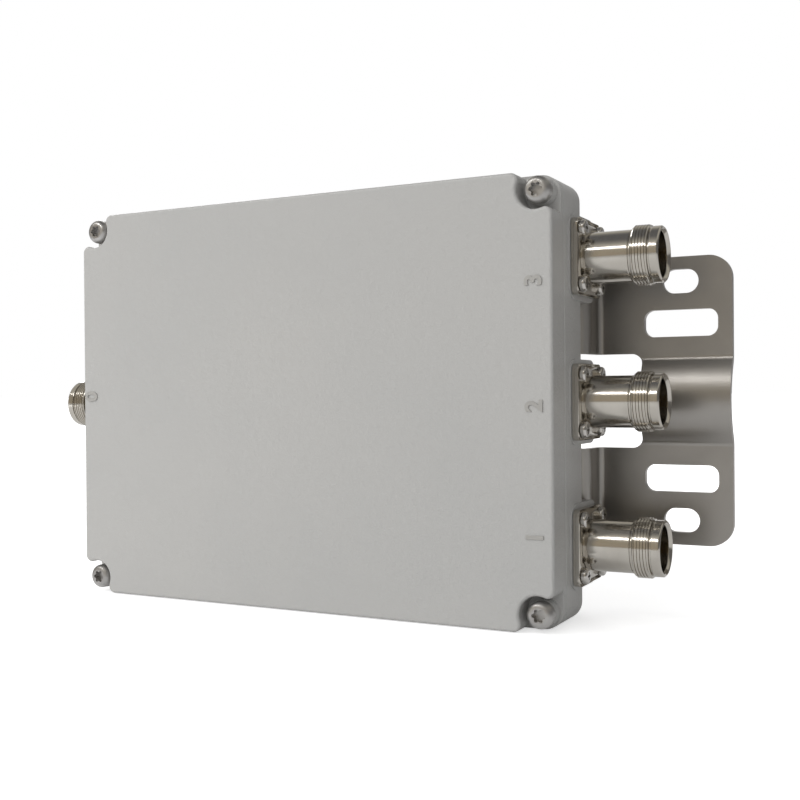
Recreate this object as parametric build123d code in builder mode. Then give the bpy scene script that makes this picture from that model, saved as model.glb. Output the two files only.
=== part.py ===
from build123d import *
import os
from math import sqrt

# Outdoor multiband cavity combiner. Millimetres, +X towards the three band ports, -Y towards
# the viewer of the cover, +Z up. The origin lies under the middle of the whole object.

# Cover and cavity body
body_length = 194.0
body_height = 147.0
corner_radius = 6.5
cover_depth = 12.0
cover_wall = 3.0
face_round = 1.0
parting_chamfer = 0.4
rim_depth = 16.5
back_depth = 14.5
back_inset = 6.0
back_corner_radius = 9.0
back_round = 2.0
floor_wall = 4.0

# Corner screws, the notches that free their heads and the round seats in the notches
corner_screw_inset = 5.7
corner_screw_radius = 2.5
corner_screw_reach = 9.0
corner_head_radius = 4.5
corner_head_height = 4.0
corner_head_round = 2.0
lobe_circle_radius = 1.75
lobe_radius = 0.6
lobe_count = 6
drive_depth = 2.2
notch_radius = 6.4
notch_depth = 9.0
notch_blend = 2.5
seat_radius = 4.6
seat_depth = 5.0

# Seal between cover and body
gasket_inset = 6.8
gasket_width = 2.2
gasket_depth = 1.4
gasket_corner_radius = 14.0

# Tuning plate, its seat and its screws
plate_inset = 11.0
plate_thickness = 3.0
plate_corner_radius = 9.0
plate_gap = 0.15
plate_ledge = 6.0
plate_screw_radius = 1.5
plate_screw_reach = 6.0
plate_head_radius = 2.75
plate_head_height = 1.9
plate_head_round = 0.8
plate_screw_margin = 0.5
boss_wall = 2.0

# Cavities: a junction chamber behind the common port, then one row for each band
junction_length = 16.0
cavity_wall = 3.0
iris_share = 0.45
pocket_radius = 2.5
arm_window_height = 8.0
arm_window_margin = 4.0
row_names = ("low", "mid", "high")
post_count = {"low": 3, "mid": 4, "high": 5}
post_heights = {"low": 20.0, "mid": 17.5, "high": 15.0}
cap_radii = {"low": 11.0, "mid": 9.0, "high": 7.0}
cap_thickness = 2.0
cap_chamfer = 0.5
stem_radius = 4.4
post_base = 3.0
post_bore_radius = 3.2
post_screw_radius = 1.5
post_screw_head_radius = 2.7
post_screw_head_height = 1.6
post_screw_reach = 2.4

# Tuning screws, one over each post, and their lock nuts
tuning_screw_radius = 2.0
tuning_screw_proud = 5.5
tuning_screw_dip = 3.0
nut_across_flats = 7.0
nut_height = 2.6
driver_slot_width = 0.7
driver_slot_depth = 0.9

# Ports: screw-type coaxial jacks, the outer thread 20 mm over its crests
outer_port_inset = 25.5
port_behind_parting = 17.3
flange_side = 25.4
flange_thickness = 2.5
flange_corner_radius = 2.4
flange_hole_spacing = 18.3
flange_hole_radius = 1.65
flange_screw_radius = 1.5
flange_screw_reach = 8.0
flange_head_radius = 2.7
flange_head_height = 2.0
flange_head_round = 0.9
root_radius = 8.2
root_end = 3.1
barrel_radius = 8.7
barrel_end = 17.6
neck_radius = 8.2
thread_radius = 10.0
thread_start = 18.4
thread_chamfer = 0.6
rim_neck_radius = 8.5
rim_neck_length = 0.7
rim_radius = 9.35
rim_length = 3.0
rim_chamfer = 0.5
jack_length = 27.7
mouth_radius = 8.5
mouth_taper = 1.0
socket_radius = 7.6
socket_depth = 8.0
inner_step_radius = 5.7
inner_step_depth = 10.0
line_radius = 5.0
insulator_end = 16.0
seal_inner_radius = 6.2
seal_width = 1.5
seal_depth = 1.1
pin_radius = 1.5
pin_inside = 2.0
contact_radius = 2.15
contact_recess = 2.6
contact_bore_radius = 1.2
contact_bore_depth = 6.0
contact_slot_width = 0.5
contact_slot_depth = 4.5

# Pads on the end walls, which carry the ports
pad_raise = 0.6
pad_depth = 27.0
pad_height = 28.4
pad_corner_radius = 5.5

# Inner conductors, cut from strip: arms with a ring round the posts' stems
strip_thickness = 1.5
strip_width = 4.0
ring_width = 1.6
tap_straight = 2.0

# Bracket: one folded sheet behind the body
sheet_thickness = 2.5
bracket_height = 100.0
bracket_fold_inset = 1.8
joggle_depth = 12.0
fold_radius = 2.0
bracket_reach = 45.0
bracket_corner_radius = 8.0
slot_length = 25.4
slot_height = 9.4
slot_corner_radius = 3.4
slot_offset = 27.0
hole_length = 12.4
hole_width = 8.4
hole_offset = 41.5
openings_from_end = 17.5
window_inner_inset = 9.0
window_outer = 14.2
window_height = 33.2
window_corner_radius = 4.0
trough_width = 28.5
trough_rise = 4.8
trough_blend = 3.0

# Screws that hold the bracket to the body's back, in bosses on the row walls
bracket_screw_spacing = 140.0
bracket_screw_radius = 2.5
bracket_screw_reach = 7.0
bracket_head_radius = 4.6
bracket_head_height = 3.2
bracket_head_round = 1.6
washer_radius = 5.2
washer_thickness = 1.0
back_boss_radius = 5.0
back_boss_height = 5.0

# Clearances between pieces, and what a blind hole is deeper than its screw
thread_clearance = 0.05
fit_clearance = 0.1
hole_clearance = 0.25
hole_runout = 0.8

# Places that follow from the sizes above
body_depth = cover_depth + rim_depth + back_depth
overall_depth = body_depth + joggle_depth + sheet_thickness
y_face = -overall_depth / 2
y_parting = y_face + cover_depth
y_rim_back = y_parting + rim_depth
y_back = y_rim_back + back_depth
y_plate_back = y_parting + plate_thickness
y_floor = y_back - floor_wall
y_port = y_parting + port_behind_parting
z_mid = body_height / 2
port_pitch = z_mid - outer_port_inset
x_wall = body_length / 2
x_pad = x_wall + pad_raise
plate_length = body_length - 2 * plate_inset
plate_height = body_height - 2 * plate_inset
x_cavity = plate_length / 2 - plate_ledge
z_cavity = plate_height / 2 - plate_ledge
x_junction = -x_cavity + junction_length
x_rows = x_junction + cavity_wall
row_length = x_cavity - x_rows
cavity_depth = y_floor - y_plate_back
rim_start = jack_length - rim_length
thread_end = rim_start - rim_neck_length


def facing(y):
    """Plane at depth y, seen from the front: local x is +X, local y is +Z from mid height."""
    return Plane(origin=(0, y, z_mid), x_dir=(1, 0, 0), z_dir=(0, -1, 0))


def axial(place):
    """Plane through a port's axis: local x is the radius, local y runs out along the axis."""
    return Plane(origin=place.origin, x_dir=place.x_dir, z_dir=-place.y_dir)


def row_span(name):
    """Lowest and highest edge of a band's row of cavities, from mid height."""
    divider = port_pitch / 2
    if name == "low":
        return -z_cavity, -divider - cavity_wall / 2
    if name == "high":
        return divider + cavity_wall / 2, z_cavity
    return -divider + cavity_wall / 2, divider - cavity_wall / 2


def row_middle(name):
    lowest, highest = row_span(name)
    return (lowest + highest) / 2


def post_places(name):
    """Places of one band's posts, seen from the front."""
    pitch = row_length / post_count[name]
    return [(x_rows + pitch * (i + 0.5), row_middle(name)) for i in range(post_count[name])]


def four_way(x, z):
    """The four places at plus and minus x and z, seen from the front."""
    return [(side_x * x, side_z * z) for side_x in (-1, 1) for side_z in (-1, 1)]


corner_places = four_way(x_wall - corner_screw_inset, z_mid - corner_screw_inset)
every_post = [place for name in row_names for place in post_places(name)]

# The tuning plate is screwed down along its ledge and to bosses on the two row walls.
plate_screw_inset = plate_head_radius + plate_screw_margin
plate_corner_inset = plate_corner_radius - (plate_corner_radius - plate_screw_inset) / sqrt(2)
wall_boss_places = [
    (x_rows + row_length * share, side * port_pitch / 2) for share in (1 / 3, 2 / 3) for side in (-1, 1)
]
plate_screw_places = (
    four_way(plate_length / 2 - plate_corner_inset, plate_height / 2 - plate_corner_inset)
    + four_way(plate_length / 6, plate_height / 2 - plate_screw_inset)
    + four_way(plate_length / 2 - plate_screw_inset, port_pitch / 2)
    + wall_boss_places
)
wall_boss_radius = plate_screw_radius + boss_wall
bracket_screw_places = four_way(bracket_screw_spacing / 2, port_pitch / 2)

port_heights = {"1": -port_pitch, "2": 0.0, "3": port_pitch}
port_walls = {
    number: Plane(origin=(x_pad, y_port, z_mid + height), x_dir=(0, 1, 0), z_dir=(1, 0, 0))
    for number, height in port_heights.items()
}
port_walls["common"] = Plane(origin=(-x_pad, y_port, z_mid), x_dir=(0, -1, 0), z_dir=(-1, 0, 0))
port_wall_length = x_pad - x_cavity
row_of_port = {"1": "low", "2": "mid", "3": "high"}

os.makedirs("parts", exist_ok=True)


# Front cover: cast lid, hollow behind its face, with a thin ear and a round seat at each screw
with BuildPart() as front_cover:
    with BuildSketch(facing(y_parting)):
        RectangleRounded(body_length, body_height, corner_radius)
    extrude(amount=cover_depth - notch_depth)
    with BuildSketch(facing(y_face + notch_depth)) as raised_face:
        RectangleRounded(body_length, body_height, corner_radius)
        with Locations(*corner_places):
            Circle(notch_radius, mode=Mode.SUBTRACT)
        fillet(raised_face.vertices(), radius=notch_blend)
    extrude(amount=notch_depth)
    face_rim = front_cover.faces().sort_by(Axis.Y)[0].outer_wire().edges()
    fillet(face_rim, radius=face_round)
    with BuildSketch(facing(y_face + notch_depth)):
        with Locations(*corner_places):
            Circle(seat_radius)
    extrude(amount=notch_depth - seat_depth)
    with BuildSketch(facing(y_parting)):
        RectangleRounded(plate_length, plate_height, plate_corner_radius)
    extrude(amount=cover_depth - cover_wall, mode=Mode.SUBTRACT)
    with BuildSketch(facing(y_parting)):
        with Locations(*corner_places):
            Circle(corner_screw_radius + fit_clearance)
    extrude(amount=cover_depth, mode=Mode.SUBTRACT)
    parting_edges = front_cover.faces().sort_by(Axis.Y)[-1].outer_wire().edges()
    chamfer(parting_edges, length=parting_chamfer)
front_cover.part.label = "front_cover"
export_step(front_cover.part, "parts/front_cover.step")


# Cover gasket: flat rubber cord in a groove of the body's rim
with BuildPart() as cover_gasket:
    with BuildSketch(facing(y_parting + gasket_depth)) as gasket_outline:
        RectangleRounded(
            body_length - 2 * gasket_inset,
            body_height - 2 * gasket_inset,
            gasket_corner_radius,
        )
        offset(amount=-gasket_width, mode=Mode.SUBTRACT)
    extrude(amount=gasket_depth)
cover_gasket.part.label = "cover_gasket"
export_step(cover_gasket.part, "parts/cover_gasket.step")


# Cover screws: pan heads with a six-lobe drive
with BuildPart() as cover_screws:
    with BuildSketch(facing(y_parting + corner_screw_reach)):
        with Locations(*corner_places):
            Circle(corner_screw_radius)
    extrude(amount=corner_screw_reach + cover_depth - seat_depth)
    with BuildSketch(facing(y_face + seat_depth)):
        with Locations(*corner_places):
            Circle(corner_head_radius)
    extrude(amount=corner_head_height)
    head_tops = cover_screws.faces().filter_by(Axis.Y).group_by(Axis.Y)[0]
    fillet(head_tops.edges(), radius=corner_head_round)
    with BuildSketch(facing(y_face + seat_depth - corner_head_height + drive_depth)):
        with Locations(*corner_places):
            Circle(lobe_circle_radius)
        for place in corner_places:
            with Locations(place):
                with PolarLocations(lobe_circle_radius, lobe_count):
                    Circle(lobe_radius)
    extrude(amount=drive_depth, mode=Mode.SUBTRACT)
cover_screws.part.label = "cover_screws"
export_step(cover_screws.part, "parts/cover_screws.step")


# Housing: cast and machined body with its cavities, row walls, irises, bosses and port pads
with BuildPart() as housing:
    with BuildSketch(facing(y_rim_back)):
        RectangleRounded(body_length, body_height, corner_radius)
    extrude(amount=rim_depth)
    with BuildSketch(facing(y_back)):
        RectangleRounded(body_length - 2 * back_inset, body_height, back_corner_radius)
    extrude(amount=back_depth)
    back_edges = housing.faces().sort_by(Axis.Y)[-1].outer_wire().edges()
    fillet(back_edges, radius=back_round)
    parting_edges = housing.faces().sort_by(Axis.Y)[0].outer_wire().edges()
    chamfer(parting_edges, length=parting_chamfer)
    for place in port_walls.values():
        with BuildSketch(place):
            RectangleRounded(pad_depth, pad_height, pad_corner_radius)
        extrude(amount=-pad_raise - back_inset - pad_raise)

    # Seat of the tuning plate, and the cavities behind it
    with BuildSketch(facing(y_plate_back)):
        RectangleRounded(plate_length, plate_height, plate_corner_radius)
    extrude(amount=plate_thickness, mode=Mode.SUBTRACT)
    with BuildSketch(facing(y_floor)):
        with Locations((x_junction - junction_length / 2, 0)):
            RectangleRounded(junction_length, 2 * z_cavity, pocket_radius)
        for name in row_names:
            lowest, highest = row_span(name)
            with Locations((x_rows + row_length / 2, row_middle(name))):
                RectangleRounded(row_length, highest - lowest, pocket_radius)
            iris_pitch = row_length / post_count[name]
            for i in range(1, post_count[name]):
                with Locations((x_rows + iris_pitch * i, row_middle(name))):
                    Rectangle(cavity_wall, highest - lowest, mode=Mode.SUBTRACT)
                    Rectangle(cavity_wall, (highest - lowest) * iris_share)
        with Locations(*wall_boss_places):
            Circle(wall_boss_radius, mode=Mode.SUBTRACT)
    extrude(amount=cavity_depth, mode=Mode.SUBTRACT)
    with BuildSketch(facing(y_port + arm_window_margin)):
        with Locations(*[(x_junction + cavity_wall / 2, row_middle(name)) for name in row_names]):
            Rectangle(cavity_wall, arm_window_height)
    extrude(amount=y_port + arm_window_margin - y_plate_back, mode=Mode.SUBTRACT)
    with BuildSketch(facing(y_floor)):
        with Locations(*bracket_screw_places):
            Circle(back_boss_radius)
    extrude(amount=back_boss_height)

    # Groove of the cover gasket
    with BuildSketch(facing(y_parting + gasket_depth)):
        RectangleRounded(
            body_length - 2 * gasket_inset + 2 * fit_clearance,
            body_height - 2 * gasket_inset + 2 * fit_clearance,
            gasket_corner_radius + fit_clearance,
        )
        offset(amount=-gasket_width - 2 * fit_clearance, mode=Mode.SUBTRACT)
    extrude(amount=gasket_depth, mode=Mode.SUBTRACT)

    # Threaded holes of the cover, the tuning plate, the posts and the bracket
    with BuildSketch(facing(y_parting + corner_screw_reach + hole_runout)):
        with Locations(*corner_places):
            Circle(corner_screw_radius + thread_clearance)
    extrude(amount=corner_screw_reach + hole_runout, mode=Mode.SUBTRACT)
    with BuildSketch(facing(y_plate_back + plate_screw_reach + hole_runout)):
        with Locations(*plate_screw_places):
            Circle(plate_screw_radius + thread_clearance)
    extrude(amount=plate_screw_reach + hole_runout, mode=Mode.SUBTRACT)
    with BuildSketch(facing(y_floor + post_screw_reach + hole_runout)):
        with Locations(*every_post):
            Circle(post_screw_radius + thread_clearance)
    extrude(amount=post_screw_reach + hole_runout, mode=Mode.SUBTRACT)
    with BuildSketch(facing(y_back)):
        with Locations(*bracket_screw_places):
            Circle(bracket_screw_radius + thread_clearance)
    extrude(amount=bracket_screw_reach + hole_runout, mode=Mode.SUBTRACT)

    # Line bore and threaded holes of each port
    for place in port_walls.values():
        with BuildSketch(place):
            Circle(line_radius)
        extrude(amount=-port_wall_length, mode=Mode.SUBTRACT)
        with BuildSketch(place):
            with GridLocations(flange_hole_spacing, flange_hole_spacing, 2, 2):
                Circle(flange_screw_radius + thread_clearance)
        extrude(amount=-flange_screw_reach - hole_runout, mode=Mode.SUBTRACT)
housing.part.label = "housing"
export_step(housing.part, "parts/housing.step")


# Tuning plate: closes the cavities and carries the tuning screws
with BuildPart() as tuning_plate:
    with BuildSketch(facing(y_plate_back)):
        RectangleRounded(
            plate_length - 2 * plate_gap,
            plate_height - 2 * plate_gap,
            plate_corner_radius - plate_gap,
        )
        with Locations(*plate_screw_places):
            Circle(plate_screw_radius + fit_clearance, mode=Mode.SUBTRACT)
        with Locations(*every_post):
            Circle(tuning_screw_radius + thread_clearance, mode=Mode.SUBTRACT)
    extrude(amount=plate_thickness)
tuning_plate.part.label = "tuning_plate"
export_step(tuning_plate.part, "parts/tuning_plate.step")


# Tuning plate screws: small slotted pan heads
with BuildPart() as tuning_plate_screws:
    with BuildSketch(facing(y_plate_back + plate_screw_reach)):
        with Locations(*plate_screw_places):
            Circle(plate_screw_radius)
    extrude(amount=plate_screw_reach + plate_thickness)
    with BuildSketch(facing(y_parting)):
        with Locations(*plate_screw_places):
            Circle(plate_head_radius)
    extrude(amount=plate_head_height)
    head_tops = tuning_plate_screws.faces().filter_by(Axis.Y).group_by(Axis.Y)[0]
    chamfer(head_tops.edges(), length=plate_head_round)
    with BuildSketch(facing(y_parting - plate_head_height + driver_slot_depth)):
        with Locations(*plate_screw_places):
            Rectangle(2 * plate_head_radius, driver_slot_width)
    extrude(amount=driver_slot_depth, mode=Mode.SUBTRACT)
tuning_plate_screws.part.label = "tuning_plate_screws"
export_step(tuning_plate_screws.part, "parts/tuning_plate_screws.step")


# Resonators: one group of capped, bored posts for each band
for name in row_names:
    y_top = y_floor - post_heights[name]
    with BuildPart() as resonators:
        with BuildSketch(facing(y_floor)):
            with Locations(*post_places(name)):
                Circle(stem_radius)
        extrude(amount=post_heights[name])
        with BuildSketch(facing(y_top + cap_thickness)):
            with Locations(*post_places(name)):
                Circle(cap_radii[name])
        extrude(amount=cap_thickness)
        cap_tops = resonators.faces().filter_by(Axis.Y).group_by(Axis.Y)[0]
        chamfer(cap_tops.edges(), length=cap_chamfer)
        with BuildSketch(facing(y_floor - post_base)):
            with Locations(*post_places(name)):
                Circle(post_bore_radius)
        extrude(amount=post_heights[name] - post_base, mode=Mode.SUBTRACT)
        with BuildSketch(facing(y_floor)):
            with Locations(*post_places(name)):
                Circle(post_screw_radius + fit_clearance)
        extrude(amount=post_base, mode=Mode.SUBTRACT)
    resonators.part.label = f"resonators_{name}"
    export_step(resonators.part, f"parts/resonators_{name}.step")


# Resonator screws: one inside each post, down into the floor
with BuildPart() as resonator_screws:
    with BuildSketch(facing(y_floor + post_screw_reach)):
        with Locations(*every_post):
            Circle(post_screw_radius)
    extrude(amount=post_screw_reach + post_base)
    with BuildSketch(facing(y_floor - post_base)):
        with Locations(*every_post):
            Circle(post_screw_head_radius)
    extrude(amount=post_screw_head_height)
    with BuildSketch(facing(y_floor - post_base - post_screw_head_height + driver_slot_depth)):
        with Locations(*every_post):
            Rectangle(2 * post_screw_head_radius, driver_slot_width)
    extrude(amount=driver_slot_depth, mode=Mode.SUBTRACT)
resonator_screws.part.label = "resonator_screws"
export_step(resonator_screws.part, "parts/resonator_screws.step")


# Tuning screws: slotted studs that dip into the posts' bores
for name in row_names:
    stud_inside = cavity_depth - post_heights[name] + tuning_screw_dip
    with BuildPart() as tuning_screws:
        with BuildSketch(facing(y_plate_back + stud_inside)):
            with Locations(*post_places(name)):
                Circle(tuning_screw_radius)
        extrude(amount=stud_inside + plate_thickness + tuning_screw_proud)
        with BuildSketch(facing(y_parting - tuning_screw_proud + driver_slot_depth)):
            with Locations(*post_places(name)):
                Rectangle(2 * tuning_screw_radius, driver_slot_width)
        extrude(amount=driver_slot_depth, mode=Mode.SUBTRACT)
    tuning_screws.part.label = f"tuning_screws_{name}"
    export_step(tuning_screws.part, f"parts/tuning_screws_{name}.step")


# Tuning nuts: thin hexagon lock nuts on the plate's outer face
with BuildPart() as tuning_nuts:
    with BuildSketch(facing(y_parting)):
        with Locations(*every_post):
            RegularPolygon(nut_across_flats / 2, 6, major_radius=False)
            Circle(tuning_screw_radius + thread_clearance, mode=Mode.SUBTRACT)
    extrude(amount=nut_height)
tuning_nuts.part.label = "tuning_nuts"
export_step(tuning_nuts.part, "parts/tuning_nuts.step")


# Junction bar: upright strip at the common pin, with an arm and a ring to each first post
x_bar = -x_cavity + pin_inside + strip_width / 2
ring_radius = stem_radius + fit_clearance + ring_width
first_posts = [post_places(name)[0] for name in row_names]
with BuildPart() as junction_bar:
    with BuildSketch(facing(y_port + strip_thickness / 2)):
        with BuildLine():
            Line((x_bar, row_middle("low")), (x_bar, row_middle("high")))
        trace(line_width=strip_width)
        for x_post, z_post in first_posts:
            with BuildLine():
                Line((x_bar - strip_width / 2, z_post), (x_post, z_post))
            trace(line_width=strip_width)
        with Locations(*first_posts):
            Circle(ring_radius)
            Circle(stem_radius + fit_clearance, mode=Mode.SUBTRACT)
    extrude(amount=strip_thickness)
junction_bar.part.label = "junction_bar"
export_step(junction_bar.part, "parts/junction_bar.step")


# Taps: strip from each band port's pin to a ring round the last post of its row
for number, height in port_heights.items():
    x_post, z_post = post_places(row_of_port[number])[-1]
    x_pin = x_cavity - pin_inside
    with BuildPart() as tap:
        with BuildSketch(facing(y_port + strip_thickness / 2)):
            with BuildLine():
                Polyline((x_post, z_post), (x_pin - tap_straight, height), (x_pin, height))
            trace(line_width=strip_width)
            with Locations((x_post, z_post)):
                Circle(ring_radius)
                Circle(stem_radius + fit_clearance, mode=Mode.SUBTRACT)
        extrude(amount=strip_thickness)
    tap.part.label = f"tap_{number}"
    export_step(tap.part, f"parts/tap_{number}.step")


# Ports: the turned body with its flange, its insulator, contact, seal and four screws
for number, place in port_walls.items():
    with BuildPart() as port_body:
        with BuildSketch(place):
            RectangleRounded(flange_side, flange_side, flange_corner_radius)
            with GridLocations(flange_hole_spacing, flange_hole_spacing, 2, 2):
                Circle(flange_hole_radius, mode=Mode.SUBTRACT)
        extrude(amount=flange_thickness)
        with BuildSketch(axial(place)):
            with BuildLine():
                Polyline(
                    (line_radius, 0),
                    (root_radius, 0),
                    (root_radius, root_end),
                    (barrel_radius, root_end),
                    (barrel_radius, barrel_end),
                    (neck_radius, barrel_end),
                    (neck_radius, thread_start),
                    (thread_radius - thread_chamfer, thread_start),
                    (thread_radius, thread_start + thread_chamfer),
                    (thread_radius, thread_end - thread_chamfer),
                    (thread_radius - thread_chamfer, thread_end),
                    (rim_neck_radius, thread_end),
                    (rim_neck_radius, rim_start),
                    (rim_radius, rim_start),
                    (rim_radius, jack_length - rim_chamfer),
                    (rim_radius - rim_chamfer, jack_length),
                    (mouth_radius, jack_length),
                    (socket_radius, jack_length - mouth_taper),
                    (socket_radius, jack_length - socket_depth),
                    (inner_step_radius, jack_length - socket_depth),
                    (inner_step_radius, jack_length - inner_step_depth),
                    (line_radius, jack_length - inner_step_depth),
                    close=True,
                )
            make_face()
        revolve(axis=Axis(place.origin, place.z_dir))
        with BuildSketch(place):
            Circle(line_radius)
        extrude(amount=flange_thickness, mode=Mode.SUBTRACT)
        with BuildSketch(place):
            Circle(seal_inner_radius + seal_width)
            Circle(seal_inner_radius, mode=Mode.SUBTRACT)
        extrude(amount=seal_depth, mode=Mode.SUBTRACT)
    port_body.part.label = f"port_{number}_body"
    export_step(port_body.part, f"parts/port_{number}_body.step")

    with BuildPart() as port_seal:
        with BuildSketch(place):
            Circle(seal_inner_radius + seal_width - fit_clearance)
            Circle(seal_inner_radius + fit_clearance, mode=Mode.SUBTRACT)
        extrude(amount=seal_depth)
    port_seal.part.label = f"port_{number}_seal"
    export_step(port_seal.part, f"parts/port_{number}_seal.step")

    with BuildPart() as port_insulator:
        with BuildSketch(place.offset(-port_wall_length)):
            Circle(line_radius - fit_clearance)
            Circle(pin_radius + thread_clearance, mode=Mode.SUBTRACT)
        extrude(amount=port_wall_length + insulator_end)
    port_insulator.part.label = f"port_{number}_insulator"
    export_step(port_insulator.part, f"parts/port_{number}_insulator.step")

    contact_end = jack_length - contact_recess
    with BuildPart() as port_contact:
        with BuildSketch(place.offset(-port_wall_length - pin_inside)):
            Circle(pin_radius)
        extrude(amount=port_wall_length + pin_inside + insulator_end)
        with BuildSketch(place.offset(insulator_end)):
            Circle(contact_radius)
        extrude(amount=contact_end - insulator_end)
        with BuildSketch(place.offset(contact_end)):
            Circle(contact_bore_radius)
        extrude(amount=-contact_bore_depth, mode=Mode.SUBTRACT)
        with BuildSketch(place.offset(contact_end)):
            Rectangle(2 * contact_radius, contact_slot_width)
            Rectangle(contact_slot_width, 2 * contact_radius)
        extrude(amount=-contact_slot_depth, mode=Mode.SUBTRACT)
    port_contact.part.label = f"port_{number}_contact"
    export_step(port_contact.part, f"parts/port_{number}_contact.step")

    with BuildPart() as port_screws:
        with BuildSketch(place.offset(-flange_screw_reach)):
            with GridLocations(flange_hole_spacing, flange_hole_spacing, 2, 2):
                Circle(flange_screw_radius)
        extrude(amount=flange_screw_reach + flange_thickness)
        with BuildSketch(place.offset(flange_thickness)):
            with GridLocations(flange_hole_spacing, flange_hole_spacing, 2, 2):
                Circle(flange_head_radius)
        extrude(amount=flange_head_height)
        head_tops = port_screws.faces().filter_by(Axis.X).group_by(Axis(place.origin, place.z_dir))[-1]
        fillet(head_tops.edges(), radius=flange_head_round)
        with BuildSketch(place.offset(flange_thickness + flange_head_height)):
            with GridLocations(flange_hole_spacing, flange_hole_spacing, 2, 2):
                Rectangle(flange_head_radius, driver_slot_width)
                Rectangle(driver_slot_width, flange_head_radius)
        extrude(amount=-driver_slot_depth, mode=Mode.SUBTRACT)
    port_screws.part.label = f"port_{number}_screws"
    export_step(port_screws.part, f"parts/port_{number}_screws.step")


# Bracket: stainless sheet, folded back beside the body, with slots and a pole trough each side
y_joggled = y_back + joggle_depth
x_end = x_wall + bracket_reach
x_fold = x_wall - bracket_fold_inset - sheet_thickness / 2
x_trough = x_wall + window_outer - window_corner_radius
x_openings = x_end - openings_from_end
with BuildPart() as bracket:
    y_near = y_back + sheet_thickness / 2
    y_far = y_joggled + sheet_thickness / 2
    with BuildSketch(Plane.XY.offset(z_mid - bracket_height / 2)):
        with BuildLine():
            FilletPolyline(
                (0, y_near),
                (x_fold, y_near),
                (x_fold, y_far),
                (x_trough, y_far),
                radius=fold_radius + sheet_thickness / 2,
            )
        trace(line_width=sheet_thickness)
    extrude(amount=bracket_height)

    # The flange's outer part, its middle pressed forward into a shallow trough
    with BuildSketch(Plane.YZ.offset(x_trough)):
        with BuildLine() as flange_line:
            crest = ThreePointArc(
                (y_far, z_mid - trough_width / 2),
                (y_far - trough_rise, z_mid),
                (y_far, z_mid + trough_width / 2),
            )
            Line((y_far, z_mid - bracket_height / 2), crest @ 0)
            Line(crest @ 1, (y_far, z_mid + bracket_height / 2))
            trough_edges = flange_line.vertices().sort_by(Axis.Y)[1:3]
            fillet(trough_edges, radius=trough_blend + sheet_thickness / 2)
        trace(line_width=sheet_thickness)
    extrude(amount=x_end - x_trough)
    outer_corners = bracket.edges().filter_by(Axis.Y).group_by(Axis.X)[-1]
    fillet(outer_corners, radius=bracket_corner_radius)
    with BuildSketch(facing(y_joggled + sheet_thickness)):
        with Locations((x_openings, slot_offset), (x_openings, -slot_offset)):
            RectangleRounded(slot_length, slot_height, slot_corner_radius)
        with Locations((x_openings, hole_offset), (x_openings, -hole_offset)):
            SlotOverall(hole_length, hole_width)
    extrude(amount=sheet_thickness, mode=Mode.SUBTRACT)

    # The window over the fold, and the holes for the screws into the body
    with BuildSketch(facing(y_joggled + sheet_thickness)):
        with Locations((x_wall + (window_outer - window_inner_inset) / 2, 0)):
            RectangleRounded(window_outer + window_inner_inset, window_height, window_corner_radius)
    extrude(amount=joggle_depth + sheet_thickness, mode=Mode.SUBTRACT)
    with BuildSketch(facing(y_back + sheet_thickness)):
        with Locations(*bracket_screw_places):
            Circle(bracket_screw_radius + hole_clearance)
    extrude(amount=sheet_thickness, mode=Mode.SUBTRACT)
    mirror(about=Plane.YZ)
bracket.part.label = "bracket"
export_step(bracket.part, "parts/bracket.step")


# Bracket washers and screws, behind the sheet
with BuildPart() as bracket_washers:
    with BuildSketch(facing(y_back + sheet_thickness + washer_thickness)):
        with Locations(*bracket_screw_places):
            Circle(washer_radius)
            Circle(bracket_screw_radius + fit_clearance, mode=Mode.SUBTRACT)
    extrude(amount=washer_thickness)
bracket_washers.part.label = "bracket_washers"
export_step(bracket_washers.part, "parts/bracket_washers.step")

y_head = y_back + sheet_thickness + washer_thickness
with BuildPart() as bracket_screws:
    with BuildSketch(facing(y_head)):
        with Locations(*bracket_screw_places):
            Circle(bracket_screw_radius)
    extrude(amount=y_head - y_back + bracket_screw_reach)
    with BuildSketch(facing(y_head + bracket_head_height)):
        with Locations(*bracket_screw_places):
            Circle(bracket_head_radius)
    extrude(amount=bracket_head_height)
    head_tops = bracket_screws.faces().filter_by(Axis.Y).group_by(Axis.Y)[-1]
    fillet(head_tops.edges(), radius=bracket_head_round)
    with BuildSketch(facing(y_head + bracket_head_height)):
        with Locations(*bracket_screw_places):
            RegularPolygon(lobe_circle_radius, 6)
    extrude(amount=-drive_depth, mode=Mode.SUBTRACT)
bracket_screws.part.label = "bracket_screws"
export_step(bracket_screws.part, "parts/bracket_screws.step")
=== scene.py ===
from math import pi, radians, tau

import bpy
from mathutils import Matrix, Vector


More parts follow.
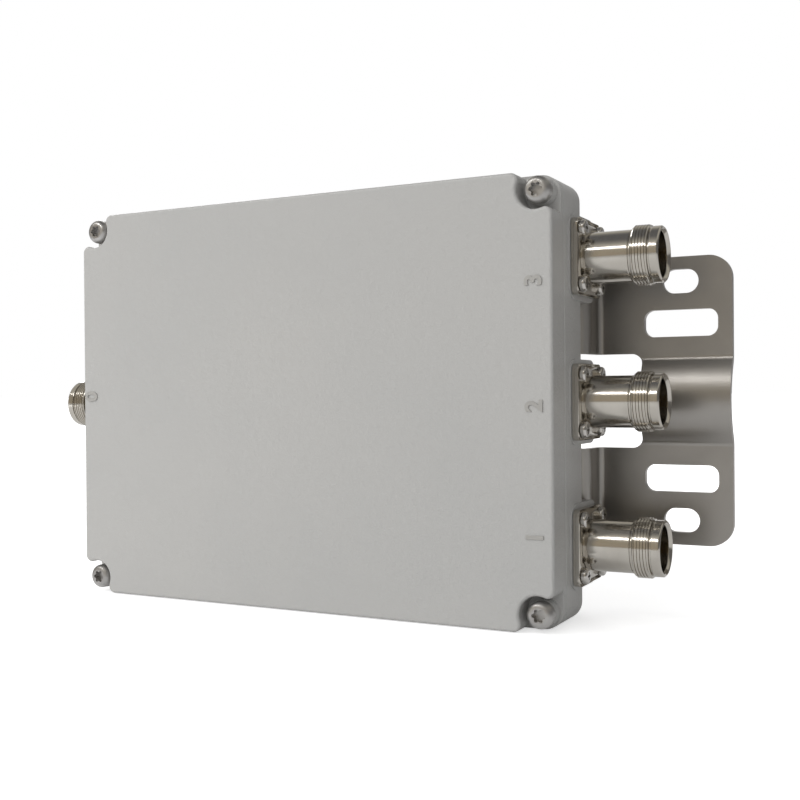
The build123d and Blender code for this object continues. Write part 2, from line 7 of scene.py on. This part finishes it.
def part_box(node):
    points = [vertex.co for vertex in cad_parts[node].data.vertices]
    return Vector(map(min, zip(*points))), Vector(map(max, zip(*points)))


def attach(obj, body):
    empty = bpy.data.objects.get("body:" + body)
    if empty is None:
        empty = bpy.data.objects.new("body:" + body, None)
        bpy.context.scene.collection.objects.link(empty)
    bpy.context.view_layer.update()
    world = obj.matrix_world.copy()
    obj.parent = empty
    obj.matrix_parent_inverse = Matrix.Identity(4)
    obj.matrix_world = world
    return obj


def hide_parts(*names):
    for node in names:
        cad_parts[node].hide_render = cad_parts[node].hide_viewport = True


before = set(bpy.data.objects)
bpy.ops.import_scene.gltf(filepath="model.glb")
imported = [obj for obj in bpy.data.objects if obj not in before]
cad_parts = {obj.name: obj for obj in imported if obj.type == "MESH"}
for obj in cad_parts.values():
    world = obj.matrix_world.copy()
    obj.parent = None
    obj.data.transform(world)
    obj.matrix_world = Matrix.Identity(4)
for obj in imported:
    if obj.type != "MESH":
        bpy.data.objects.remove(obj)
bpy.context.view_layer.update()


# Cavity body: one aluminium casting with a machined rim, chambers and port pads, powder coated
# outside in light grey. The coat lies over the casting's skin, so its grain shows softly through.
def wire(tree, start, end):
    tree.links.new(start, end)


def new_effect(name, numbers, colours, results):
    """Node group with number and colour inputs, and a Texture Coordinate inside it."""
    effect = bpy.data.node_groups.new(name, "ShaderNodeTree")
    for label, value in numbers.items():
        socket = effect.interface.new_socket(label, in_out="INPUT", socket_type="NodeSocketFloat")
        socket.default_value = value
    for label, value in colours.items():
        socket = effect.interface.new_socket(label, in_out="INPUT", socket_type="NodeSocketColor")
        socket.default_value = value
    for label, kind in results.items():
        effect.interface.new_socket(label, in_out="OUTPUT", socket_type=kind)
    inside = effect.nodes.new("NodeGroupInput")
    outside = effect.nodes.new("NodeGroupOutput")
    place = effect.nodes.new("ShaderNodeTexCoord")
    return effect, inside, outside, place


# Drift: the slow change of tone and gloss over a real surface
drift, drift_in, drift_out, drift_place = new_effect(
    "tone_drift",
    {"Scale": 20.0, "Smooth": 0.3, "Rough": 0.4},
    {"Light": (0.5, 0.5, 0.5, 1.0), "Dark": (0.4, 0.4, 0.4, 1.0)},
    {"Color": "NodeSocketColor", "Roughness": "NodeSocketFloat"},
)
cloud = drift.nodes.new("ShaderNodeTexNoise")
cloud.inputs["Detail"].default_value = 4.0
cloud.inputs["Roughness"].default_value = 0.55
spread = drift.nodes.new("ShaderNodeMapRange")
spread.inputs["From Min"].default_value = 0.3
spread.inputs["From Max"].default_value = 0.7
tint = drift.nodes.new("ShaderNodeMix")
tint.data_type = "RGBA"
gloss = drift.nodes.new("ShaderNodeMix")
gloss.data_type = "FLOAT"
wire(drift, drift_place.outputs["Object"], cloud.inputs["Vector"])
wire(drift, drift_in.outputs["Scale"], cloud.inputs["Scale"])
wire(drift, cloud.outputs["Fac"], spread.inputs["Value"])
wire(drift, spread.outputs["Result"], tint.inputs["Factor"])
wire(drift, spread.outputs["Result"], gloss.inputs["Factor"])
wire(drift, drift_in.outputs["Light"], tint.inputs["A"])
wire(drift, drift_in.outputs["Dark"], tint.inputs["B"])
wire(drift, drift_in.outputs["Smooth"], gloss.inputs["A"])
wire(drift, drift_in.outputs["Rough"], gloss.inputs["B"])
wire(drift, tint.outputs["Result"], drift_out.inputs["Color"])
wire(drift, gloss.outputs["Result"], drift_out.inputs["Roughness"])

# Grain: the dimples of a cast or coated skin, in two sizes
grain, grain_in, grain_out, grain_place = new_effect(
    "skin_grain",
    {"Coarse": 700.0, "Fine": 2400.0, "Fine Share": 0.35},
    {},
    {"Height": "NodeSocketFloat"},
)
dimple = grain.nodes.new("ShaderNodeTexNoise")
dimple.inputs["Detail"].default_value = 1.5
speck = grain.nodes.new("ShaderNodeTexNoise")
speck.inputs["Detail"].default_value = 2.0
both = grain.nodes.new("ShaderNodeMix")
both.data_type = "FLOAT"
wire(grain, grain_place.outputs["Object"], dimple.inputs["Vector"])
wire(grain, grain_place.outputs["Object"], speck.inputs["Vector"])
wire(grain, grain_in.outputs["Coarse"], dimple.inputs["Scale"])
wire(grain, grain_in.outputs["Fine"], speck.inputs["Scale"])
wire(grain, grain_in.outputs["Fine Share"], both.inputs["Factor"])
wire(grain, dimple.outputs["Fac"], both.inputs["A"])
wire(grain, speck.outputs["Fac"], both.inputs["B"])
wire(grain, both.outputs["Result"], grain_out.inputs["Height"])


def new_finish(name, metallic, light, dark, smooth, rough, scale):
    """Material with the drift of tone and gloss laid on it."""
    material = bpy.data.materials.new(name)
    material.use_nodes = True
    tree = material.node_tree
    skin = tree.nodes["Principled BSDF"]
    skin.inputs["Metallic"].default_value = metallic
    tone = tree.nodes.new("ShaderNodeGroup")
    tone.node_tree = drift
    tone.inputs["Scale"].default_value = scale
    tone.inputs["Light"].default_value = (*light, 1.0)
    tone.inputs["Dark"].default_value = (*dark, 1.0)
    tone.inputs["Smooth"].default_value = smooth
    tone.inputs["Rough"].default_value = rough
    wire(tree, tone.outputs["Color"], skin.inputs["Base Color"])
    wire(tree, tone.outputs["Roughness"], skin.inputs["Roughness"])
    return material


def raise_skin(material, effect, values, strength, depth):
    """Bump node whose height comes from one of the effects; depth in metres."""
    tree = material.node_tree
    height = tree.nodes.new("ShaderNodeGroup")
    height.node_tree = effect
    for label, value in values.items():
        height.inputs[label].default_value = value
    bump = tree.nodes.new("ShaderNodeBump")
    bump.inputs["Strength"].default_value = strength
    bump.inputs["Distance"].default_value = depth
    wire(tree, height.outputs["Height"], bump.inputs["Height"])
    wire(tree, bump.outputs["Normal"], tree.nodes["Principled BSDF"].inputs["Normal"])


def finish_nodes(material, *names):
    for name in names:
        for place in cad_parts[name].material_slots:
            place.material = material


cast_coat = new_finish(
    "cast_coat", 0.0, (0.475, 0.468, 0.452), (0.452, 0.449, 0.437), 0.33, 0.42, 14.0
)
raise_skin(cast_coat, grain, {"Coarse": 520.0, "Fine": 1600.0, "Fine Share": 0.35}, 0.9, 0.0003)
finish_nodes(cast_coat, "housing")


# Front cover: a second casting in the same coat. Deep notches free its four screws, and its face
# is cast plain, with a raised figure beside each port whose coat has darkened a little.
finish_nodes(cast_coat, "front_cover")
figure_coat = new_finish(
    "figure_coat", 0.0, (0.405, 0.393, 0.368), (0.38, 0.37, 0.348), 0.4, 0.5, 90.0
)
raise_skin(
    figure_coat, grain, {"Coarse": 1700.0, "Fine": 5200.0, "Fine Share": 0.4}, 0.2, 0.00006
)
cover_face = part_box("front_cover")[0].y
figure_height = 0.0056
height_share = 0.7  # of the font's size
figure_rise = 0.0003
figure_weight = 0.00015
figure_edge = 0.00008
# Turns a flat figure to read upwards on the face
reading_up = Matrix(((0, -1, 0), (0, 0, -1), (1, 0, 0))).to_4x4()
# Each figure, and where its middle lies across and up the face
figure_places = {
    "port_1": ("1", 0.0910, 0.0308),
    "port_2": ("2", 0.0910, 0.0725),
    "port_3": ("3", 0.0910, 0.1123),
    "port_common": ("0", -0.0927, 0.0765),
}
for port, (digit, x, z) in figure_places.items():
    bpy.ops.object.select_all(action="DESELECT")
    bpy.ops.object.text_add(location=(0, 0, 0))
    figure = bpy.context.active_object
    figure.name = f"{port}_figure"
    figure.data.body = digit
    figure.data.align_x = "CENTER"
    figure.data.align_y = "CENTER"
    figure.data.size = figure_height / height_share
    figure.data.resolution_u = 6
    figure.data.offset = figure_weight
    figure.data.extrude = figure_rise
    figure.data.bevel_depth = figure_edge
    figure.data.bevel_resolution = 2
    bpy.ops.object.convert(target="MESH")
    figure = bpy.context.active_object
    figure.data.transform(Matrix.Translation((x, cover_face, z)) @ reading_up)
    figure.data.materials.clear()
    figure.data.materials.append(figure_coat)
    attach(figure, "root")


# Cover gasket and port seals: moulded rubber cord and rings, black and slightly dusty, pressed
# into their grooves.
seal_rubber = new_finish(
    "seal_rubber", 0.0, (0.035, 0.035, 0.036), (0.022, 0.022, 0.023), 0.55, 0.7, 90.0
)
raise_skin(
    seal_rubber, grain, {"Coarse": 1500.0, "Fine": 5000.0, "Fine Share": 0.5}, 0.25, 0.00008
)
finish_nodes(
    seal_rubber,
    "cover_gasket",
    "port_1_seal",
    "port_2_seal",
    "port_3_seal",
    "port_common_seal",
)


# Screws and washers: stainless, the pan heads cold headed and tumbled, so they are dull and
# evenly grained. The small ones of the jack flanges are brighter.
screw_steel = new_finish(
    "screw_steel", 1.0, (0.54, 0.53, 0.52), (0.45, 0.44, 0.43), 0.34, 0.44, 160.0
)
raise_skin(screw_steel, grain, {"Coarse": 2600.0, "Fine": 7000.0, "Fine Share": 0.5}, 0.2, 0.00004)
finish_nodes(
    screw_steel,
    "cover_screws",
    "tuning_plate_screws",
    "resonator_screws",
    "bracket_screws",
    "bracket_washers",
)
flange_steel = new_finish(
    "flange_steel", 1.0, (0.66, 0.64, 0.61), (0.56, 0.54, 0.51), 0.16, 0.26, 220.0
)
raise_skin(
    flange_steel, grain, {"Coarse": 3000.0, "Fine": 8000.0, "Fine Share": 0.5}, 0.1, 0.00003
)
finish_nodes(
    flange_steel,
    "port_1_screws",
    "port_2_screws",
    "port_3_screws",
    "port_common_screws",
)


# Silver-plated inner parts: the tuning plate, the posts and the conductors. The tools' fine
# parallel marks stay visible under the thin plating.
marks, marks_in, marks_out, marks_place = new_effect(
    "tool_marks",
    {"Along": 60.0, "Across": 5000.0, "Upright": 60.0},
    {},
    {"Height": "NodeSocketFloat"},
)
stretch = marks.nodes.new("ShaderNodeCombineXYZ")
lay = marks.nodes.new("ShaderNodeVectorMath")
lay.operation = "MULTIPLY"
scratch = marks.nodes.new("ShaderNodeTexNoise")
scratch.inputs["Scale"].default_value = 1.0
scratch.inputs["Detail"].default_value = 3.0
wire(marks, marks_in.outputs["Along"], stretch.inputs["X"])
wire(marks, marks_in.outputs["Across"], stretch.inputs["Y"])
wire(marks, marks_in.outputs["Upright"], stretch.inputs["Z"])
wire(marks, marks_place.outputs["Object"], lay.inputs[0])
wire(marks, stretch.outputs["Vector"], lay.inputs[1])
wire(marks, lay.outputs["Vector"], scratch.inputs["Vector"])
wire(marks, scratch.outputs["Fac"], marks_out.inputs["Height"])

silver_plating = new_finish(
    "silver_plating", 1.0, (0.87, 0.85, 0.81), (0.76, 0.73, 0.67), 0.24, 0.36, 45.0
)
raise_skin(
    silver_plating, marks, {"Along": 70.0, "Across": 4000.0, "Upright": 2600.0}, 0.2, 0.00004
)
finish_nodes(
    silver_plating,
    "tuning_plate",
    "resonators_low",
    "resonators_mid",
    "resonators_high",
    "junction_bar",
    "tap_1",
    "tap_2",
    "tap_3",
)


# Tuning screws and their lock nuts: turned brass, bright on the flanks and slightly tarnished,
# run in through the tuning plate over the posts and locked there.
tuning_brass = new_finish(
    "tuning_brass", 1.0, (0.76, 0.57, 0.29), (0.60, 0.43, 0.20), 0.22, 0.38, 130.0
)
raise_skin(
    tuning_brass, grain, {"Coarse": 2200.0, "Fine": 6000.0, "Fine Share": 0.5}, 0.15, 0.00004
)
finish_nodes(
    tuning_brass,
    "tuning_screws_low",
    "tuning_screws_mid",
    "tuning_screws_high",
    "tuning_nuts",
)


# Jack bodies: turned from brass bar in one piece with the square flange, with a single-start
# thread cut on the coupling end, then plated bright all over.
jack_plating = new_finish(
    "jack_plating", 1.0, (0.62, 0.59, 0.54), (0.54, 0.51, 0.46), 0.12, 0.18, 120.0
)
raise_skin(jack_plating, marks, {"Along": 9000.0, "Across": 90.0, "Upright": 90.0}, 0.12, 0.00003)

round_steps = 96
flange_side = 0.0254
flange_thick = 0.0025
flange_corner = 0.0024
corner_steps = 8
flange_edge = 0.0002
screw_spacing = 0.0183
screw_hole = 0.00165
centre_hole = 0.0065
hole_steps = 48
turned_edge = 0.00012
# Radius, and distance from the back of the flange, in millimetres
turned_rings = (
    (5.0, 0.4),
    (8.2, 0.4),
    (8.2, 3.1),
    (8.7, 3.1),
    (8.7, 3.6),
    (8.7, 17.1),
    (8.7, 17.6),
    (8.2, 17.6),
    (8.2, 18.4),
    (9.6, 18.4),
    (9.6, 24.0),
    (8.5, 24.0),
    (8.5, 24.7),
    (9.35, 24.7),
    (9.35, 25.0),
    (9.35, 26.9),
    (9.35, 27.2),
    (8.85, 27.7),
    (8.5, 27.7),
    (7.6, 26.7),
    (7.6, 26.3),
    (7.6, 20.1),
    (7.6, 19.7),
    (5.7, 19.7),
    (5.7, 17.7),
    (5.0, 17.7),
    (5.0, 0.4),
)
thread_start = 0.0184
thread_end = 0.0240
thread_crest = 0.010
thread_pitch = 0.001
thread_turns = 7
thread_run_out = 0.0006
ridge_width = 0.0009
ridge_height = 0.0007
ridge_middle = 0.0097
crest_share = 0.4
crest_trim = 0.00002
weld = 1e-6
sliver = 3e-6
gap_sides = 8
sharp_above = radians(30)
smooth_below = radians(25)


def apply_all(piece):
    bpy.ops.object.select_all(action="DESELECT")
    piece.select_set(True)
    bpy.context.view_layer.objects.active = piece
    for step in list(piece.modifiers):
        bpy.ops.object.modifier_apply(modifier=step.name)


def cut_or_join(piece, tool, operation):
    """Boolean of one piece with another, which is used up."""
    step = piece.modifiers.new("shape", "BOOLEAN")
    step.operation = operation
    step.solver = "EXACT"
    step.object = tool
    apply_all(piece)
    bpy.data.objects.remove(tool)


def break_edges(piece, width, segments):
    step = piece.modifiers.new("edges", "BEVEL")
    step.width = width
    step.segments = segments
    step.limit_method = "ANGLE"
    step.angle_limit = sharp_above
    apply_all(piece)


# The turned form: a ring drawn out and resized along the profile until it closes on itself
first_radius, first_along = turned_rings[0]
bpy.ops.object.select_all(action="DESELECT")
bpy.ops.mesh.primitive_circle_add(
    vertices=round_steps,
    radius=first_radius / 1000,
    location=(first_along / 1000, 0, 0),
    rotation=(0, pi / 2, 0),
)
bpy.ops.object.transform_apply(location=True, rotation=True, scale=True)
jack = bpy.context.active_object
jack.name = "port_1_jack"
bpy.ops.object.mode_set(mode="EDIT")
bpy.ops.mesh.select_all(action="SELECT")
radius, along = first_radius, first_along
for next_radius, next_along in turned_rings[1:]:
    bpy.ops.mesh.extrude_region_move(
        TRANSFORM_OT_translate={"value": ((next_along - along) / 1000, 0, 0)}
    )
    if next_radius != radius:
        share = next_radius / radius
        bpy.ops.transform.resize(
            value=(1, share, share), center_override=(next_along / 1000, 0, 0)
        )
    radius, along = next_radius, next_along
bpy.ops.mesh.select_all(action="SELECT")
bpy.ops.mesh.remove_doubles(threshold=weld)
bpy.ops.mesh.normals_make_consistent(inside=False)
bpy.ops.object.mode_set(mode="OBJECT")
break_edges(jack, turned_edge, 2)

# The thread: one ridge wound round the coupling end, topped and run out by the turned envelope
bpy.ops.object.select_all(action="DESELECT")
bpy.ops.mesh.primitive_plane_add(size=1, location=(0, 0, 0), rotation=(pi / 2, 0, 0))
thread = bpy.context.active_object
bpy.ops.object.transform_apply(location=True, rotation=True, scale=True)
bpy.ops.object.mode_set(mode="EDIT")
bpy.ops.mesh.select_all(action="SELECT")
bpy.ops.transform.resize(value=(ridge_width, 1, ridge_height), center_override=(0, 0, 0))
bpy.ops.transform.translate(value=(thread_start - thread_run_out, 0, ridge_middle))
bpy.ops.mesh.select_all(action="DESELECT")
bpy.ops.object.mode_set(mode="OBJECT")
for point in thread.data.vertices:
    point.select = point.co.z > ridge_middle
bpy.ops.object.mode_set(mode="EDIT")
bpy.ops.transform.resize(
    value=(crest_share, 1, 1),
    center_override=(thread_start - thread_run_out, 0, thread_crest),
)
bpy.ops.object.mode_set(mode="OBJECT")
winding = thread.modifiers.new("winding", "SCREW")
winding.axis = "X"
winding.angle = tau
winding.screw_offset = thread_pitch
winding.iterations = thread_turns
winding.steps = round_steps
winding.render_steps = round_steps
winding.use_smooth_shade = False
apply_all(thread)
bpy.ops.object.mode_set(mode="EDIT")
bpy.ops.mesh.select_all(action="SELECT")
bpy.ops.mesh.remove_doubles(threshold=weld)
bpy.ops.mesh.fill_holes(sides=gap_sides)
bpy.ops.mesh.normals_make_consistent(inside=False)
bpy.ops.object.mode_set(mode="OBJECT")

bpy.ops.object.select_all(action="DESELECT")
bpy.ops.mesh.primitive_cylinder_add(
    vertices=round_steps,
    radius=thread_crest - crest_trim,
    depth=thread_end - thread_start,
    location=((thread_start + thread_end) / 2, 0, 0),
    rotation=(0, pi / 2, 0),
)
envelope = bpy.context.active_object
bpy.ops.object.transform_apply(location=True, rotation=True, scale=True)
break_edges(envelope, thread_run_out, 1)
cut_or_join(thread, envelope, "INTERSECT")

# The flange: a square plate with rounded corners, four screw holes and a round opening
bpy.ops.object.select_all(action="DESELECT")
bpy.ops.mesh.primitive_cube_add(size=1, location=(flange_thick / 2, 0, 0))
flange = bpy.context.active_object
flange.scale = (flange_thick, flange_side, flange_side)
bpy.ops.object.transform_apply(location=True, rotation=True, scale=True)
for edge in flange.data.edges:
    ends = [flange.data.vertices[i].co for i in edge.vertices]
    edge.select = abs(ends[0].x - ends[1].x) > flange_thick / 2
for point in flange.data.vertices:
    point.select = False
for face in flange.data.polygons:
    face.select = False
bpy.ops.object.mode_set(mode="EDIT")
bpy.ops.mesh.select_mode(type="EDGE")
bpy.ops.mesh.bevel(offset=flange_corner, segments=corner_steps, affect="EDGES")
bpy.ops.mesh.select_mode(type="VERT")
bpy.ops.object.mode_set(mode="OBJECT")
break_edges(flange, flange_edge, 2)
hole_places = [(0.0, 0.0, centre_hole)] + [
    (side_y * screw_spacing / 2, side_z * screw_spacing / 2, screw_hole)
    for side_y in (-1, 1)
    for side_z in (-1, 1)
]
for y, z, hole_radius in hole_places:
    bpy.ops.object.select_all(action="DESELECT")
    bpy.ops.mesh.primitive_cylinder_add(
        vertices=hole_steps,
        radius=hole_radius,
        depth=4 * flange_thick,
        location=(0, y, z),
        rotation=(0, pi / 2, 0),
    )
    drill = bpy.context.active_object
    bpy.ops.object.transform_apply(location=True, rotation=True, scale=True)
    cut_or_join(flange, drill, "DIFFERENCE")

# One closed body: the slivers that joining leaves are merged, and what opens is filled
cut_or_join(jack, thread, "UNION")
cut_or_join(jack, flange, "UNION")
bpy.ops.object.mode_set(mode="EDIT")
bpy.ops.mesh.select_all(action="SELECT")
bpy.ops.mesh.remove_doubles(threshold=sliver)
bpy.ops.mesh.dissolve_degenerate(threshold=sliver)
bpy.ops.mesh.fill_holes(sides=gap_sides)
bpy.ops.mesh.normals_make_consistent(inside=False)
bpy.ops.object.mode_set(mode="OBJECT")
bpy.ops.object.shade_smooth_by_angle(angle=smooth_below)
jack.data.materials.clear()
jack.data.materials.append(jack_plating)

jacks = {"port_1": jack}
for port in ("port_2", "port_3", "port_common"):
    twin = jack.copy()
    twin.data = jack.data.copy()
    twin.name = f"{port}_jack"
    bpy.context.scene.collection.objects.link(twin)
    jacks[port] = twin
for port, piece in jacks.items():
    low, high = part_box(f"{port}_body")
    middle = (low + high) / 2
    if port == "port_common":
        seat = Matrix.Translation((high.x, middle.y, middle.z)) @ Matrix.Rotation(pi, 4, "Z")
    else:
        seat = Matrix.Translation((low.x, middle.y, middle.z))
    piece.data.transform(seat)
    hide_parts(f"{port}_body")
    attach(piece, "root")


# Insulators and centre contacts: white fluoropolymer turned to size, round a slotted contact of
# beryllium copper with a gold flash.
insulator_white = new_finish(
    "insulator_white", 0.0, (0.86, 0.86, 0.84), (0.80, 0.80, 0.77), 0.38, 0.5, 200.0
)
raise_skin(
    insulator_white, marks, {"Along": 4000.0, "Across": 200.0, "Upright": 200.0}, 0.1, 0.00004
)
contact_gold = new_finish(
    "contact_gold", 1.0, (0.86, 0.66, 0.33), (0.78, 0.57, 0.26), 0.16, 0.26, 300.0
)
raise_skin(contact_gold, marks, {"Along": 8000.0, "Across": 200.0, "Upright": 200.0}, 0.1, 0.00003)
for port in jacks:
    finish_nodes(insulator_white, f"{port}_insulator")
    finish_nodes(contact_gold, f"{port}_contact")


# Bracket: stainless sheet with a mill finish, punched, folded behind the body and pressed into a
# trough for a pole. The rolling direction runs along it.
sheet_steel = new_finish(
    "sheet_steel", 1.0, (0.41, 0.392, 0.367), (0.34, 0.325, 0.308), 0.28, 0.36, 28.0
)
raise_skin(sheet_steel, marks, {"Along": 45.0, "Across": 1500.0, "Upright": 3600.0}, 0.16, 0.00005)
finish_nodes(sheet_steel, "bracket")


# Floor: a wide sheet of pale paper under the body, which keeps its soft shadow. Seen by the
# camera it glows to plain white away from the body, and metal mirrors it dimmed.
floor_side = 60
floor_level = -0.0003
bpy.ops.object.select_all(action="DESELECT")
bpy.ops.mesh.primitive_plane_add(size=floor_side, location=(0, 0, floor_level))
floor = bpy.context.active_object
floor.name = "floor"
bpy.ops.object.transform_apply(location=True, rotation=True, scale=True)
floor_paper = bpy.data.materials.new("floor_paper")
floor_paper.use_nodes = True
tree = floor_paper.node_tree
tree.nodes.remove(tree.nodes["Principled BSDF"])
paper = tree.nodes.new("ShaderNodeBsdfDiffuse")
paper.inputs["Color"].default_value = (0.8, 0.8, 0.8, 1.0)
place = tree.nodes.new("ShaderNodeTexCoord")
away = tree.nodes.new("ShaderNodeVectorMath")
away.operation = "LENGTH"
seen_fade = tree.nodes.new("ShaderNodeMapRange")
seen_fade.inputs["From Min"].default_value = 0.12
seen_fade.inputs["From Max"].default_value = 0.6
seen_fade.inputs["To Min"].default_value = 0.62
seen_fade.inputs["To Max"].default_value = 1.0
strength = tree.nodes.new("ShaderNodeMix")
strength.data_type = "FLOAT"
strength.inputs["A"].default_value = 0.12
glow = tree.nodes.new("ShaderNodeEmission")
lit = tree.nodes.new("ShaderNodeAddShader")
rays = tree.nodes.new("ShaderNodeLightPath")
seen = tree.nodes.new("ShaderNodeMath")
seen.operation = "MAXIMUM"
seen_through = tree.nodes.new("ShaderNodeMath")
seen_through.operation = "MAXIMUM"
either = tree.nodes.new("ShaderNodeMixShader")
wire(tree, place.outputs["Object"], away.inputs[0])
wire(tree, away.outputs["Value"], seen_fade.inputs["Value"])
wire(tree, rays.outputs["Is Camera Ray"], strength.inputs["Factor"])
wire(tree, seen_fade.outputs["Result"], strength.inputs["B"])
wire(tree, strength.outputs["Result"], glow.inputs["Strength"])
wire(tree, paper.outputs["BSDF"], lit.inputs[0])
wire(tree, glow.outputs["Emission"], lit.inputs[1])
wire(tree, rays.outputs["Is Camera Ray"], seen.inputs[0])
wire(tree, rays.outputs["Is Glossy Ray"], seen.inputs[1])
wire(tree, seen.outputs["Value"], seen_through.inputs[0])
wire(tree, rays.outputs["Is Transmission Ray"], seen_through.inputs[1])
wire(tree, seen_through.outputs["Value"], either.inputs["Fac"])
wire(tree, paper.outputs["BSDF"], either.inputs[1])
wire(tree, lit.outputs["Shader"], either.inputs[2])
wire(tree, either.outputs["Shader"], tree.nodes["Material Output"].inputs["Surface"])
floor.data.materials.append(floor_paper)


# Studio: white all round for the camera, soft light mostly from the front left for the matt
# surfaces, and for the metal a dim room: a tan wall to the front left, white behind, and
# overhead a pale band round a dark ceiling
studio = bpy.data.worlds.new("studio")
bpy.context.scene.world = studio
studio.use_nodes = True
tree = studio.node_tree
direction = tree.nodes.new("ShaderNodeTexCoord")


def toward(aim, ranges):
    """Map Range over how far a direction points along aim, From and To, low and high."""
    along = tree.nodes.new("ShaderNodeVectorMath")
    along.operation = "DOT_PRODUCT"
    along.inputs[1].default_value = Vector(aim).normalized()
    shade = tree.nodes.new("ShaderNodeMapRange")
    for label, value in zip(("From Min", "From Max", "To Min", "To Max"), ranges):
        shade.inputs[label].default_value = value
    wire(tree, direction.outputs["Generated"], along.inputs[0])
    wire(tree, along.outputs["Value"], shade.inputs["Value"])
    return shade.outputs["Result"]


def blend(share, start, end):
    """Mix of two colours, each a value or the output of another node."""
    mix = tree.nodes.new("ShaderNodeMix")
    mix.data_type = "RGBA"
    wire(tree, share, mix.inputs["Factor"])
    for label, colour in (("A", start), ("B", end)):
        if isinstance(colour, tuple):
            mix.inputs[label].default_value = (*colour, 1.0)
        else:
            wire(tree, colour, mix.inputs[label])
    return mix.outputs["Result"]


soft = tree.nodes["Background"]
soft.inputs["Color"].default_value = (1.0, 1.0, 1.0, 1.0)
soft_side = toward((-0.5, -0.866, 0.0), (-1.1, 1.0, 0.0, 1.1))
wire(tree, soft_side, soft.inputs["Strength"])
white = tree.nodes.new("ShaderNodeBackground")
white.inputs["Color"].default_value = (1.0, 1.0, 1.0, 1.0)
front_left = toward((-0.35, -0.93, 0.0), (0.3, 0.95, 0.0, 1.0))
behind = toward((-0.4, 0.9, 0.0), (0.7, 1.0, 0.0, 1.0))
band = toward((0.0, 0.0, 1.0), (0.5, 0.62, 0.0, 1.0))
ceiling = toward((0.0, 0.0, 1.0), (0.72, 0.93, 0.0, 1.0))
walls = blend(front_left, (0.16, 0.155, 0.15), (0.42, 0.37, 0.29))
walls = blend(behind, walls, (1.0, 1.0, 1.0))
walls = blend(band, walls, (0.5, 0.48, 0.43))
walls = blend(ceiling, walls, (0.15, 0.15, 0.155))
room = tree.nodes.new("ShaderNodeBackground")
wire(tree, walls, room.inputs["Color"])
rays = tree.nodes.new("ShaderNodeLightPath")
reflected = tree.nodes.new("ShaderNodeMath")
reflected.operation = "MAXIMUM"
not_camera = tree.nodes.new("ShaderNodeMixShader")
all_rays = tree.nodes.new("ShaderNodeMixShader")
wire(tree, rays.outputs["Is Glossy Ray"], reflected.inputs[0])
wire(tree, rays.outputs["Is Transmission Ray"], reflected.inputs[1])
wire(tree, reflected.outputs["Value"], not_camera.inputs["Fac"])
wire(tree, soft.outputs["Background"], not_camera.inputs[1])
wire(tree, room.outputs["Background"], not_camera.inputs[2])
wire(tree, rays.outputs["Is Camera Ray"], all_rays.inputs["Fac"])
wire(tree, not_camera.outputs["Shader"], all_rays.inputs[1])
wire(tree, white.outputs["Background"], all_rays.inputs[2])
wire(tree, all_rays.outputs["Shader"], tree.nodes["World Output"].inputs["Surface"])


# Lamps: a long, narrow softbox to the front left above the object, a small one near its left
# end, which metal does not mirror and which leaves the right end a little darker, and a square
# one behind it. All of them face the middle of the body.
body_middle = Vector((0.0, 0.0, 0.0735))


def hang_lamp(name, aim, distance, width, height, power):
    lamp_data = bpy.data.lights.new(name, "AREA")
    lamp_data.shape = "RECTANGLE"
    lamp_data.size = width
    lamp_data.size_y = height
    lamp_data.energy = power
    lamp = bpy.data.objects.new(name, lamp_data)
    bpy.context.scene.collection.objects.link(lamp)
    lamp.location = body_middle + Vector(aim).normalized() * distance
    lamp.rotation_euler = (body_middle - lamp.location).to_track_quat("-Z", "Y").to_euler()
    lamp.visible_camera = False
    return lamp


hang_lamp("key", (-0.38, -0.69, 0.62), 1.3, 1.2, 0.12, 3.6)
fill = hang_lamp("fill", (-0.75, -0.65, 0.02), 0.75, 0.3, 0.14, 1.0)
fill.visible_glossy = False
hang_lamp("back", (-0.6, 0.75, 0.3), 1.2, 0.5, 0.5, 4.0)


# Camera: level with the middle of the body, to its front right, as the photograph was taken.
# Its place and lens are fitted to the edges of the body.
lens = bpy.data.cameras.new("view")
lens.lens = 49.3
lens.sensor_width = 36.0
lens.clip_start = 0.01
lens.clip_end = 200.0
viewer = bpy.data.objects.new("view", lens)
bpy.context.scene.collection.objects.link(viewer)
viewer.location = (0.21144, -0.35635, 0.07687)
viewer.rotation_euler = (radians(90 - 0.355), radians(0.451), radians(27.192))
bpy.context.scene.camera = viewer
bpy.context.scene.view_settings.view_transform = "Standard"
